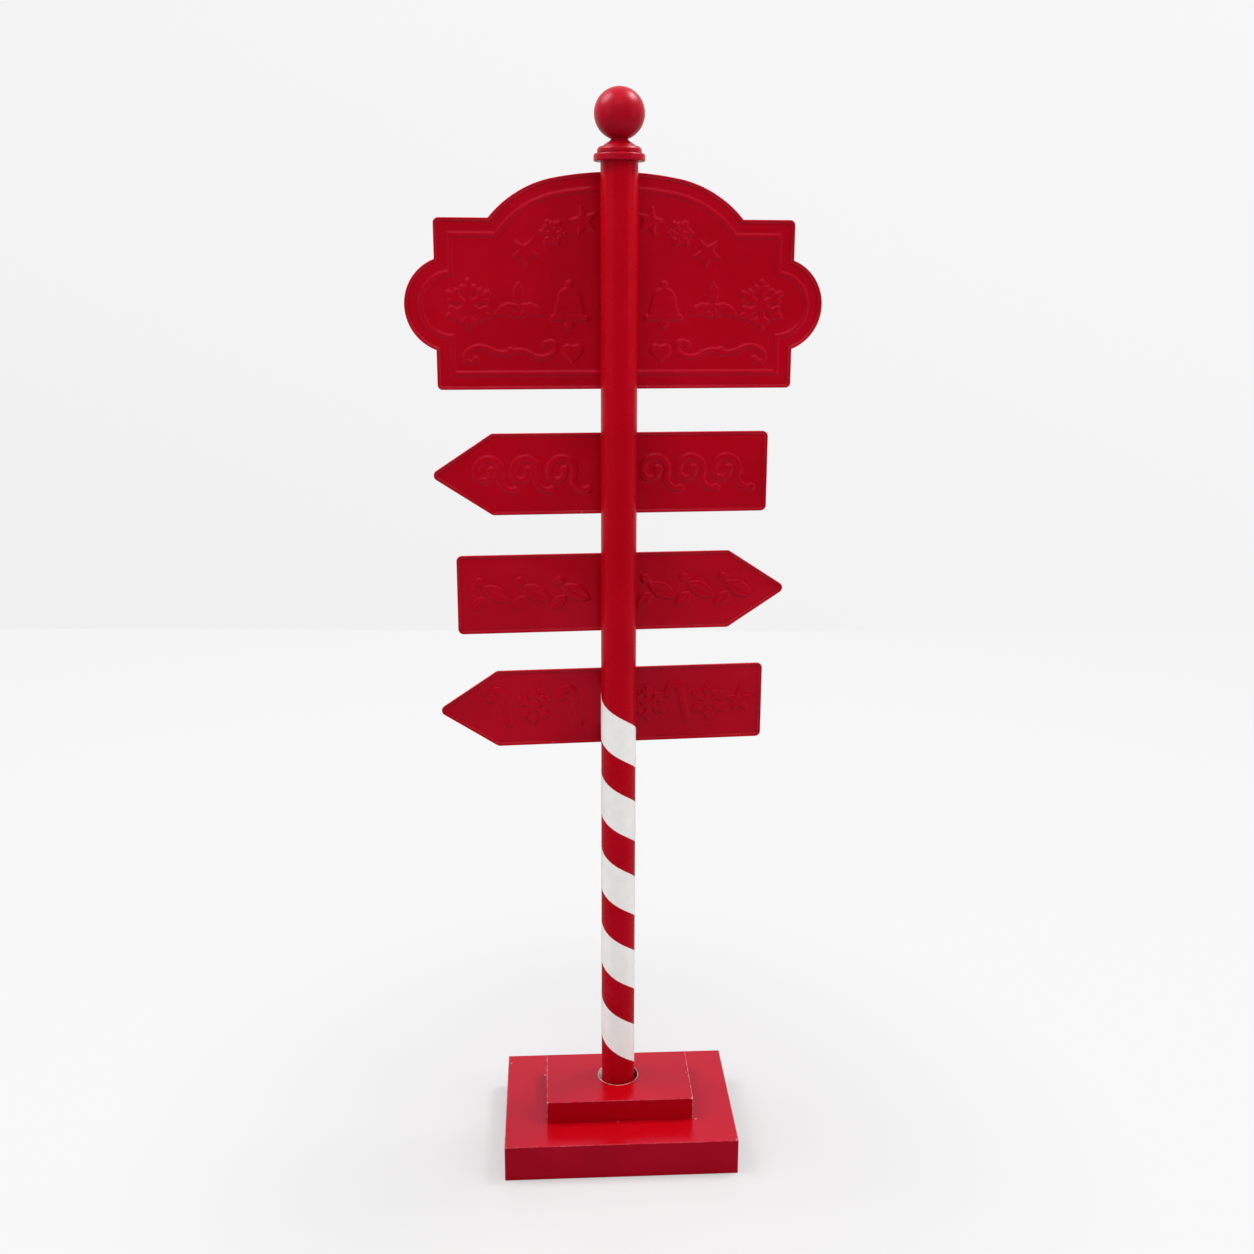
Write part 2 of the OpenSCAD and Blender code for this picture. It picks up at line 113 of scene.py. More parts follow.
def chipMask(tree, where, chips):
    mask = 0.0
    wander = vectorCalc(tree, "SUBTRACT",
                        put(tree, "ShaderNodeTexNoise", {"Vector": where, "Scale": 650.0}).outputs[1],
                        (0.5, 0.5, 0.5))
    for place, size in chips:
        stretched = vectorCalc(tree, "MULTIPLY", wander, (size * mm * 2.2,) * 3)
        moved = vectorCalc(tree, "ADD", where, stretched)
        away = vectorCalc(tree, "DISTANCE", moved, tuple(c * mm for c in place))
        mask = calc(tree, "MAXIMUM", ramp(tree, away, 1.1 * size * mm, 0.6 * size * mm), mask)
    return mask


def paint(name, coat, roughness, specular, sheen, wearAndHighlight=None, bareAndLit=None):
    material, tree, shader, where = newMaterial(name)
    cloud = noise(tree, where, redPaint["cloudScale"], 3.0)
    color = blendColor(tree, ramp(tree, cloud, 0.35, 0.65), *redPaint[coat])
    low, high = roughness
    rough = ramp(tree, noise(tree, where, 38.0, 4.0, 0.6), 0.3, 0.7, low, high)
    # edge masks: real wear and chips together with painted highlight lines along edges
    if wearAndHighlight:
        mask = wearAndHighlight(tree, where)
        color = blendColor(tree, mask, color, redPaint["wornAndHighlight"])
        rough = ramp(tree, mask, 0.0, 1.0, rough, 0.7)
    # bare wood, turned pale mostly on its lit side as a painted highlight
    if bareAndLit:
        mask = bareAndLit(tree, where)
        color = blendColor(tree, mask, color, redPaint["bareAndLit"])
        rough = ramp(tree, mask, 0.0, 1.0, rough, 0.85)
    peel = noise(tree, where, redPaint["peelScale"], 1.0)
    bump = put(tree, "ShaderNodeBump", {"Height": peel, "Strength": 0.5,
                                        "Distance": redPaint["peelDepth"]})
    tree.links.new(color, shader.inputs["Base Color"])
    tree.links.new(rough, shader.inputs["Roughness"])
    tree.links.new(bump.outputs[0], shader.inputs["Normal"])
    shader.inputs["Specular IOR Level"].default_value = specular
    shader.inputs["Specular Tint"].default_value = sheen
    return material


# The base's top edges turn paler in a thin line, most of all along its two sides: partly rubbed paint, partly a
# painted highlight where the rounded edges catch the light

baseWearAndHighlight = {
    "turn": 4.0,              # degrees back to square
    "middle": 6.0,            # how far the tiers' middle lies in front of the pole
    "lower": {"half": (176, 124.5), "top": 56, "line": 1.3, "sides": 0.2, "front": 0.09},
    "upper": {"half": (112.5, 66.5), "top": 92, "line": 1.3, "sides": 0.34, "front": 0.09},
    "lowerChips": [((-111.7, 67.0, 56), 1.3), ((111.6, -80.4, 56), 1.5), ((-8.5, -73.4, 56), 0.9),
                   ((163.9, -139.2, 55.6), 1.3), ((-163.6, 108.6, 56), 1.1), ((-60, -132, 55.8), 0.7),
                   ((112.5, -143.0, 55.6), 0.8)],
    "upperChips": [((105.7, -78.6, 91.8), 1.4), ((107.8, -9.0, 92), 0.8), ((-4.6, -31.3, 92), 1.1),
                   ((-115.9, -64.4, 91.6), 1.1), ((10, -77.5, 91.8), 0.7)],
    "hole": 31.0,
    "rimRise": (90.8, 91.6),  # heights between which the pale rim of the hole sets in
    "rimShare": 0.4,
    "wallSide": (-14, -22),   # x from which the hole's wall turns bare and pale, a painted highlight on its lit left
    "wallShare": 0.12,        # bare share on the wall's right side, kept low as painted shade
}


def tierWearAndHighlight(tier, chips):
    def build(tree, where):
        square = put(tree, "ShaderNodeMapping", {"Vector": where, "Location": (0, baseWearAndHighlight["middle"] * mm, 0),
                     "Rotation": (0, 0, math.radians(baseWearAndHighlight["turn"]))}).outputs[0]
        parts = put(tree, "ShaderNodeSeparateXYZ", {0: square}).outputs
        inX = calc(tree, "SUBTRACT", tier["half"][0] * mm, calc(tree, "ABSOLUTE", parts[0]))
        inY = calc(tree, "SUBTRACT", tier["half"][1] * mm, calc(tree, "ABSOLUTE", parts[1]))
        inZ = calc(tree, "SUBTRACT", tier["top"] * mm, parts[2])
        closer = calc(tree, "MINIMUM", inX, inY)
        farther = calc(tree, "MAXIMUM", inX, inY)
        edge = calc(tree, "MAXIMUM", closer, calc(tree, "MINIMUM", farther, inZ))
        ragged = calc(tree, "ADD", edge, ramp(tree, noise(tree, where, 140.0), 0.3, 0.7, -0.0004, 0.0004))
        line = ramp(tree, ragged, tier["line"] * mm, tier["line"] * mm * 0.4)
        side = calc(tree, "LESS_THAN", inX, 0.003)
        share = ramp(tree, side, 0, 1, tier["front"], tier["sides"], smooth=False)
        uneven = ramp(tree, noise(tree, where, 32.0, 4.0, 0.65), 0.35, 0.65, 0.45, 1.3)
        # thin paler edge line: partly rubbed paint, partly painted highlight, strongest along the sides
        rubbedAndHighlit = calc(tree, "MULTIPLY", calc(tree, "MULTIPLY", line, share), uneven)
        return calc(tree, "MAXIMUM", rubbedAndHighlit, calc(tree, "MULTIPLY", chipMask(tree, where, chips), 0.7))
    return build


# Bare wood shows as a thin line round the hole's rim and on its wall; the wall turns pale mostly on its left, a
# painted highlight where light falls, and stays mostly red on the right as painted shade
def holeBareAndLit(tree, where):
    parts = put(tree, "ShaderNodeSeparateXYZ", {0: where}).outputs
    out = calc(tree, "SQRT", calc(tree, "ADD", calc(tree, "MULTIPLY", parts[0], parts[0]),
                                  calc(tree, "MULTIPLY", parts[1], parts[1])))
    hole = baseWearAndHighlight["hole"] * mm
    uneven = noise(tree, where, 120.0, 3.0)
    ragged = calc(tree, "SUBTRACT", out, ramp(tree, uneven, 0.4, 0.65, 0, 0.0006))
    low, high = (z * mm for z in baseWearAndHighlight["rimRise"])
    rim = calc(tree, "MULTIPLY", ramp(tree, ragged, hole + 0.0006, hole + 0.0003),
               ramp(tree, parts[2], low, high))
    wall = ramp(tree, out, hole + 0.0003, hole + 0.0001)
    right, left = (x * mm for x in baseWearAndHighlight["wallSide"])
    # the wall's left-right split is painted light: highlight on the left, shade on the right
    litBareShare = ramp(tree, parts[0], right, left, baseWearAndHighlight["wallShare"], 1)
    return calc(tree, "MAXIMUM", calc(tree, "MULTIPLY", wall, litBareShare),
                calc(tree, "MULTIPLY", rim, baseWearAndHighlight["rimShare"]))


# Sheet: chips on the hem, by the mesh's own "rim" attribute, and a few bigger ones, with a faint pale line along the
# whole rim that is a painted highlight on the folds

sheetChips = [((-244.4, 25.5, 1169.3), 1.9), ((-50.1, 25.5, 988.9), 1.0), ((-30.6, 25.5, 816.8), 1.1),
              ((-221.5, 25.5, 819.0), 0.8), ((-106.9, 25.5, 643.4), 1.1), ((-94.9, 25.5, 642.3), 1.0)]


def hemWearAndHighlight(tree, where):
    rim = put(tree, "ShaderNodeAttribute", attribute_name="rim").outputs["Fac"]
    patch = ramp(tree, noise(tree, where, 75.0, 4.0, 0.7), 0.66, 0.72)
    spots = calc(tree, "MULTIPLY", rim, patch)
    # faint pale line along the whole rim: a painted highlight on the hem's folds
    thin = calc(tree, "MULTIPLY", rim, ramp(tree, noise(tree, where, 14.0), 0.35, 0.65, 0.015, 0.06))
    spots = calc(tree, "MAXIMUM", calc(tree, "MULTIPLY", spots, 0.7), thin)
    return calc(tree, "MAXIMUM", spots, chipMask(tree, where, sheetChips))


polePaint = paint("polePaint", "pole", (0.25, 0.32), 0.22, (1, 0.2, 0.5, 1))
finialPaint = paint("finialPaint", "finial", (0.3, 0.36), 0.2, (1, 0.62, 0.8, 1))
lowerTierPaint = paint("lowerTierPaint", "base", (0.2, 0.27), 0.6, (1, 0.13, 0.62, 1),
                       wearAndHighlight=tierWearAndHighlight(baseWearAndHighlight["lower"], baseWearAndHighlight["lowerChips"]))
upperTierPaint = paint("upperTierPaint", "base", (0.2, 0.27), 0.6, (1, 0.13, 0.62, 1),
                       wearAndHighlight=tierWearAndHighlight(baseWearAndHighlight["upper"], baseWearAndHighlight["upperChips"]), bareAndLit=holeBareAndLit)
sheetPaint = paint("sheetPaint", "sheet", (0.18, 0.24), 0.52, (1, 0.22, 0.5, 1), wearAndHighlight=hemWearAndHighlight)


# White film of the stripe, and the metals and wood that are hidden inside

def plainFinish(name, color, second, roughness, scale, metallic=0.0, stretch=(1, 1, 1), bump=0.0, specular=0.4):
    material, tree, shader, where = newMaterial(name)
    where = put(tree, "ShaderNodeMapping", {"Vector": where, "Scale": stretch}).outputs[0]
    grain = noise(tree, where, scale, 5.0, 0.6)
    tree.links.new(blendColor(tree, ramp(tree, grain, 0.35, 0.65), color, second), shader.inputs["Base Color"])
    tree.links.new(ramp(tree, grain, 0.3, 0.7, roughness[0], roughness[1]), shader.inputs["Roughness"])
    if bump:
        raised = put(tree, "ShaderNodeBump", {"Height": grain, "Strength": 0.5, "Distance": bump})
        tree.links.new(raised.outputs[0], shader.inputs["Normal"])
    shader.inputs["Metallic"].default_value = metallic
    shader.inputs["Specular IOR Level"].default_value = specular
    return material


whiteFilm = plainFinish("whiteFilm", (0.845, 0.83, 0.806, 1), (0.875, 0.86, 0.84, 1), (0.3, 0.42), 60.0,
                        bump=0.00004, specular=0.3)
zincSteel = plainFinish("zincSteel", (0.56, 0.57, 0.6, 1), (0.72, 0.73, 0.75, 1), (0.28, 0.42), 300.0,
                        metallic=1.0, stretch=(1, 1, 0.2))
insertBrass = plainFinish("insertBrass", (0.74, 0.55, 0.24, 1), (0.84, 0.66, 0.33, 1), (0.25, 0.4), 200.0,
                          metallic=1.0)
beech = plainFinish("beech", (0.5, 0.3, 0.16, 1), (0.72, 0.5, 0.3, 1), (0.5, 0.65), 220.0,
                    stretch=(1, 1, 0.06), bump=0.0001)
print("finishes ready")


# Plain shapes as distances in mm: negative inside, p holds the points

def alongD(p, path, width):
    a, b = path[:-1], path[1:]
    ab = b - a
    t = np.clip(((p[:, None] - a) * ab).sum(2) / (ab ** 2).sum(1), 0, 1)
    gap = p[:, None] - a - t[..., None] * ab
    return np.hypot(gap[..., 0], gap[..., 1]).min(1) - width / 2


def polygonD(p, corners):
    edge = alongD(p, np.vstack([corners, corners[:1]]), 0)
    a, b = corners, np.roll(corners, -1, 0)
    x, y = p[:, :1], p[:, 1:]
    rise = b[:, 1] - a[:, 1]
    at = (b[:, 0] - a[:, 0]) * (y - a[:, 1]) / np.where(rise == 0, 1, rise) + a[:, 0]
    inside = (((a[:, 1] > y) != (b[:, 1] > y)) & (x < at)).sum(1) % 2 == 1
    return np.where(inside, -edge, edge)


def circleD(p, x, y, r):
    return np.hypot(p[:, 0] - x, p[:, 1] - y) - r


def turned(p, degrees):
    c, s = math.cos(math.radians(degrees)), math.sin(math.radians(degrees))
    return np.column_stack([p[:, 0] * c + p[:, 1] * s, p[:, 1] * c - p[:, 0] * s])


def line(*points):
    return np.array(points, float)


def arc(x, y, r, start, end, steps):
    a = np.radians(np.linspace(start, end, steps + 1))
    return np.column_stack([x + r * np.cos(a), y + r * np.sin(a)])


# Ornaments of the relief. Each gives the distance to its outline and to the fine grooves on it.

noGroove = 99.0


def starD(p, r):
    tips = np.radians(90 + 36 * np.arange(10))
    reach = np.where(np.arange(10) % 2 == 0, r, 0.45 * r)
    corners = np.column_stack([reach * np.cos(tips), reach * np.sin(tips)])
    ridges = [alongD(p, line((0, 0), 0.72 * c), 0) for c in corners[::2]]
    return polygonD(p, corners), np.min(ridges, 0)


def snowflakeD(p, r, w):
    d = np.full(len(p), 99.0)
    for a in np.radians([30, 90, 150, 210, 270, 330]):
        arm = np.array([math.cos(a), math.sin(a)])
        d = np.minimum(d, alongD(p, line((0, 0), (r - 0.4 * w) * arm), w))
        for turn in (-55, 55):
            twig = np.array([math.cos(a + math.radians(turn)), math.sin(a + math.radians(turn))])
            d = np.minimum(d, alongD(p, line(0.52 * r * arm, 0.52 * r * arm + (0.36 * r - 0.4 * w) * twig), w))
    return d, circleD(p, 0, 0, 0) + noGroove


def bellD(p, size):
    d = circleD(p, 0, 0.18 * size, 0.44 * size)
    skirt = line((-0.44, 0.18), (-0.62, -0.52), (0.62, -0.52), (0.44, 0.18)) * size
    d = np.minimum(d, polygonD(p, skirt))
    d = np.minimum(d, alongD(p, line((-0.62, -0.5), (0.62, -0.5)) * size, 0.22 * size))
    d = np.minimum(d, circleD(p, 0, -0.74 * size, 0.17 * size))
    d = np.minimum(d, circleD(p, 0, 0.7 * size, 0.14 * size))
    bands = [alongD(p, line((-0.62, y), (0.62, y)) * size, 0) for y in (-0.36, -0.22, 0.3)]
    return d, np.min(bands, 0)


def leafD(p, length, wide, angle, spines=0):
    p = turned(p, angle)
    r = (length ** 2 + wide ** 2) / (4 * wide)
    d = np.maximum(circleD(p, 0, r - wide / 2, r), circleD(p, 0, wide / 2 - r, r))
    if spines:
        d = d + 0.9 * (0.5 + 0.5 * np.cos(2 * np.pi * spines * p[:, 0] / length))
    grooves = [alongD(p, line((-0.42 * length, 0), (0.4 * length, 0)), 0)]
    for at in (-0.2, 0.02, 0.22):
        for side in (-1, 1):
            root = (at * length, 0)
            tip = ((at + 0.14) * length, side * 0.3 * wide)
            grooves.append(alongD(p, line(root, tip), 0) + 0.5)
    return d, np.min(grooves, 0)


def hollyD(p, size):
    leaves = [leafD(p - (s * 0.52 * size, -0.1 * size), size, 0.46 * size, s * -24, 3) for s in (-1, 1)]
    leaves.append(leafD(p - (0, 0.52 * size), 0.9 * size, 0.42 * size, 90, 3))
    d = np.min([leaf[0] for leaf in leaves], 0)
    groove = np.min([leaf[1] for leaf in leaves], 0)
    for a in np.radians([90, 210, 330]):
        berry = circleD(p, 0.17 * size * math.cos(a), 0.17 * size * math.sin(a) - 0.2 * size, 0.14 * size)
        groove = np.minimum(np.where(berry < 1, noGroove, groove), abs(berry - 0.6))
        d = np.minimum(d, berry)
    return d, groove


def heartD(p, size):
    d = np.minimum(circleD(p, -0.32 * size, 0.2 * size, 0.4 * size), circleD(p, 0.32 * size, 0.2 * size, 0.4 * size))
    middle = np.array([-0.05, -0.05]) * size
    corners = line((-1, -1), (1, -1), (1, 1), (-1, 1)) * 0.43 * size + middle
    d = np.minimum(d, polygonD(turned(p, 45), corners))
    return d, abs(d + 3.4)


# Curved line of arcs that run on from a point and a heading: (radius, turn, width) each
def vineD(p, start, heading, arcs, dot):
    d = np.full(len(p), 99.0)
    x, y = start
    for r, turn, width in arcs:
        begin = heading - 90 * np.sign(turn)
        cx = x - r * math.cos(math.radians(begin))
        cy = y - r * math.sin(math.radians(begin))
        bend = arc(cx, cy, r, begin, begin + turn, max(4, round(abs(turn) / 9)))
        d = np.minimum(d, alongD(p, bend, width))
        x, y = bend[-1]
        heading += turn
    return np.minimum(d, circleD(p, x, y, dot / 2))


def caneD(p, size, w):
    d = alongD(p, line((0.3 * size, -0.94 * size), (0.3 * size, 0.62 * size)), w - 1)
    d = np.minimum(d, vineD(p, (0.3 * size, 0.62 * size), 90, [(0.3 * size, 190, w)], 1.3 * w))
    stripes = abs((p[:, 1] + 0.8 * p[:, 0]) % 9 - 4.5) * 0.8
    return d, stripes


def flourishD(p, w):
    arcs = [(34, 50, w), (26, -78, 0.92 * w), (8, -190, 0.84 * w)]
    d = circleD(p, 0, 0, 0.9 * w)
    for half in (p, -p):
        d = np.minimum(d, vineD(half, (0, 0), -18, arcs, 1.4 * w))
    return d, circleD(p, 0, 0, 0) + noGroove


def scrollD(p, w):
    d = vineD(p, (0, -2), 70, [(18, 220, w), (11, 175, 0.9 * w)], 1.35 * w)
    d = np.minimum(d, vineD(p, (0, -1), -110, [(17, 125, 0.9 * w)], 1.2 * w))
    return d, circleD(p, 0, 0, 0) + noGroove


def garlandD(p, size):
    big = leafD(p, size, 22, 28)
    small = leafD(p - (26, -14), 30, 16, -42)
    berry = circleD(p, 24, 18, 6.5)
    d = np.minimum(np.minimum(big[0], small[0]), berry)
    return d, np.where(berry < 1, noGroove, np.minimum(big[1], small[1]))


# Boards. All four are one sheet each with a hem folded back, placed by "height" and "slide".

sheet = {
    "thick": 1.0,
    "back": 28.5,             # Y of the sheet's back face
    "hemWidth": 5.0,
    "hemHeight": 3.0,
    "bend": 1.2,              # outer radius of the folds
    "field": 1.7,             # inset at which the flat of the sheet starts
    "relief": 2.1,
    "soft": 4.4,              # width of the relief's flanks
    "groove": 0.35,
    "lipDrop": 1.9,           # how far the lip's inner edge is pressed down to the sheet
    "wave": 0.35,             # how far the thin sheet buckles
    "fine": 1.2,              # spacing of the points on the flanks
}

signShape = {"width": 500, "height": 230, "corner": 7, "rise": 61, "topR": 455, "sideR": 156, "turn": 11,
             "lobe": 65, "lobeOut": 41.9, "beadIn": 19, "beadWidth": 6}
arrowShape = {"tip": 255, "butt": 224, "high": 116, "point": 82, "corner": 8}

boards = {
    "topBoardSheet": {"node": "top_board", "height": 1278, "slide": 0, "mirrored": False, "seed": 1,
                      "ornaments": [(starD, (20,), 24), (snowflakeD, (18, 5.5), 22), (starD, (20,), 24),
                                    (snowflakeD, (34, 8), 38), (hollyD, (35,), 42), (bellD, (37,), 40),
                                    (flourishD, (7,), 72), (heartD, (20,), 24)],
                      "places": [(13.5,), (27,), (40.5,), (205, 0), (136, -3), (66, 1), (148, -64), (62, -66)]},
    "upperArrowSheet": {"node": "upper_arrow_board", "height": 1044, "slide": -4.5, "mirrored": False, "seed": 2,
                        "row": [(scrollD, (9,), 48, (x, 0), 0) for x in (-161, -109, -57, 77, 129, 181)]},
    "middleArrowSheet": {"node": "middle_arrow_board", "height": 870, "slide": -7, "mirrored": True, "seed": 3,
                         "row": [(garlandD, (46,), 48, (x, 0), 0) for x in (-190, -132, -74, 52, 110, 168)]},
    "lowerArrowSheet": {"node": "lower_arrow_board", "height": 697, "slide": -3.5, "mirrored": False, "seed": 4,
                        "row": [(caneD, (30, 10.5), 46, (x, 0), 12) for x in (-170, -66, 95)]
                        + [(snowflakeD, (27, 8), 31, (x, 0), 0) for x in (-120, 51, 142)]
                        + [(starD, (23,), 27, (191, 0), 0)]},
}


def signRow(board):
    row = []
    for (shape, sizes, reach), place in zip(board["ornaments"], board["places"]):
        if len(place) == 1:      # on the arc, by its angle
            a = math.radians(place[0])
            row.append((shape, sizes, reach, (195 * math.sin(a), 195 * math.cos(a) - 78), -place[0]))
        else:
            row.append((shape, sizes, reach, place, 0))
    return row


def signArch():
    s = signShape
    low = s["height"] / 2 + s["rise"] - s["topR"]
    turn = math.radians(s["turn"])
    reach = s["topR"] - s["sideR"]
    return low, reach * math.sin(turn), low + reach * math.cos(turn)


def signDepth(p):
    s = signShape
    low, sideX, sideY = signArch()
    x, y = abs(p[:, 0]), p[:, 1]
    qx = x - (s["width"] / 2 - s["corner"])
    qy = abs(y) - (s["height"] / 2 - s["corner"])
    box = np.hypot(np.maximum(qx, 0), np.maximum(qy, 0)) + np.minimum(np.maximum(qx, qy), 0) - s["corner"]
    lobe = np.hypot(x - (s["width"] / 2 + s["lobeOut"] - s["lobe"]), y) - s["lobe"]
    flat = np.arctan2(x, y - low) < math.radians(s["turn"])
    crown = np.where(flat, np.hypot(x, y - low) - s["topR"], np.hypot(x - sideX, y - sideY) - s["sideR"])
    crown = np.maximum(crown, 20 - y)
    return -np.minimum(np.minimum(box, lobe), crown)


def straight(a, b, steps):
    t = np.linspace(0, 1, steps + 1)[:, None]
    return np.array(a) + t * (np.array(b) - np.array(a))


# Outline of the top board, shrunk by inset, always with the same number of points
def signLoop(inset):
    s = signShape
    low, sideX, sideY = signArch()
    w, h = s["width"] / 2 - inset, s["height"] / 2 - inset
    r = max(s["corner"] - inset, 0.6)
    lobeX, lobeR = s["width"] / 2 + s["lobeOut"] - s["lobe"], s["lobe"] - inset
    lobeY = math.sqrt(lobeR ** 2 - (w - lobeX) ** 2)
    lobeA = math.degrees(math.atan2(lobeY, w - lobeX))
    archR = s["sideR"] - inset
    archX = sideX + math.sqrt(archR ** 2 - (h - sideY) ** 2)
    archA = math.degrees(math.atan2(h - sideY, archX - sideX))
    half = [straight((0, -h), (w - r, -h), 70), arc(w - r, r - h, r, -90, 0, 6),
            straight((w, r - h), (w, -lobeY), 16), arc(lobeX, 0, lobeR, -lobeA, lobeA, 52),
            straight((w, lobeY), (w, h - r), 16), arc(w - r, h - r, r, 0, 90, 6),
            straight((w - r, h), (archX, h), 22), arc(sideX, sideY, archR, archA, 90 - s["turn"], 40),
            arc(0, low, s["topR"] - inset, 90 - s["turn"], 90, 26)]
    half = np.vstack([part[1:] for part in half])
    return np.vstack([half, (half * (-1, 1))[-2::-1], [(0, -h)]])


def arrowCorners():
    s = arrowShape
    side = s["high"] / 2
    slope = math.atan(side / (s["point"] + 0.6 * s["corner"]))
    sharp = s["tip"] + s["corner"] * (1 / math.sin(slope) - 1)
    return line((-sharp, 0), (s["point"] - s["tip"], -side), (s["butt"], -side), (s["butt"], side),
                (s["point"] - s["tip"], side))


def arrowDepth(p):
    corners = arrowCorners()
    ahead = np.roll(corners, -1, 0) - corners
    ahead /= np.hypot(ahead[:, 0], ahead[:, 1])[:, None]
    left = np.column_stack([-ahead[:, 1], ahead[:, 0]])
    return ((p[:, None] - corners) * left).sum(2).min(1)


def arrowLoop(inset):
    corners, r = arrowCorners(), arrowShape["corner"]
    count = len(corners)
    ahead = np.roll(corners, -1, 0) - corners
    lengths = np.hypot(ahead[:, 0], ahead[:, 1])
    ahead /= lengths[:, None]
    arcs = []
    for i in range(count):
        back, on = ahead[i - 1], ahead[i]
        turn = math.acos(np.clip(back @ on, -1, 1))
        lefts = np.array([-back[1] - on[1], back[0] + on[0]])
        centre = corners[i] + r / math.cos(turn / 2) * lefts / np.hypot(*lefts)
        start = math.degrees(math.atan2(-back[0], back[1]))
        steps = max(3, round(math.degrees(turn) / 12))
        arcs.append(arc(*centre, r - inset, start, start + math.degrees(turn), steps))
    loop = []
    for i in range(count):
        gap = straight(arcs[i][-1], arcs[(i + 1) % count][0], max(2, round(lengths[i] / 3)))
        loop += [arcs[i], gap[1:-1]]
    return np.vstack(loop)


# Section of the hem: (inset, height behind the sheet, share of wear and of the painted highlight), from the sheet's
# back face round the inside of the fold, over the lip and the outer edge to the front face
def hemSection():
    t, wide, high, bend = sheet["thick"], sheet["hemWidth"], sheet["hemHeight"], sheet["bend"]
    under = high - t
    lipUnder, lipTop = under - sheet["lipDrop"], high - sheet["lipDrop"]
    path = [(sheet["field"], 0, 0), (t + 0.3, 0.05, 0), (t + 0.08, 0.2, 0), (t, 0.45, 0), (t, under - 0.3, 0),
            (t + 0.3, under - 0.1, 0), (wide - 0.35, lipUnder, 0), (wide - 0.08, lipUnder + 0.12, 0.6),
            (wide, lipUnder + 0.4, 1), (wide, lipTop - 0.4, 1), (wide - 0.1, lipTop - 0.12, 1),
            (wide - 0.5, lipTop, 0.4), (bend + 0.8, high - 0.15, 0)]
    for a in np.radians([0, 22.5, 45, 67.5, 90]):
        path.append((bend - bend * math.sin(a), high - bend + bend * math.cos(a), math.sin(2 * a)))
    for a in np.radians([0, 22.5, 45, 67.5, 90]):
        path.append((bend - bend * math.cos(a), bend - t - bend * math.sin(a), math.sin(2 * a)))
    path.append((sheet["field"], -t, 0))
    return path


def reliefAt(p, row, isSign):
    d = np.full(len(p), 99.0)
    g = np.full(len(p), noGroove)
    q = np.column_stack([abs(p[:, 0]), p[:, 1]]) if isSign else p
    for shape, sizes, reach, place, turn in row:
        near = np.hypot(q[:, 0] - place[0], q[:, 1] - place[1]) < reach
        if near.any():
            ownD, ownG = shape(turned(q[near] - place, turn), *sizes)
            g[near] = np.where(ownD < d[near], ownG, g[near])
            d[near] = np.minimum(d[near], ownD)
    if isSign:
        bead = abs(signDepth(p) - signShape["beadIn"] - signShape["beadWidth"] / 2) - signShape["beadWidth"] / 2
        g[bead < 2] = noGroove
        d = np.minimum(d, bead)
    return d, g


def smoothStep(x):
    x = np.clip(x, 0, 1)
    return x * x * (3 - 2 * x)


def buckle(p, depth, seed):
    x, y = p[:, 0], p[:, 1]
    wave = np.sin(x / 47 + 1.3 * seed) * np.cos(y / 39 + seed) + 0.6 * np.sin(x / 23 - y / 31 + 2.1 * seed)
    return sheet["wave"] * wave * smoothStep((depth - 4) / 30)


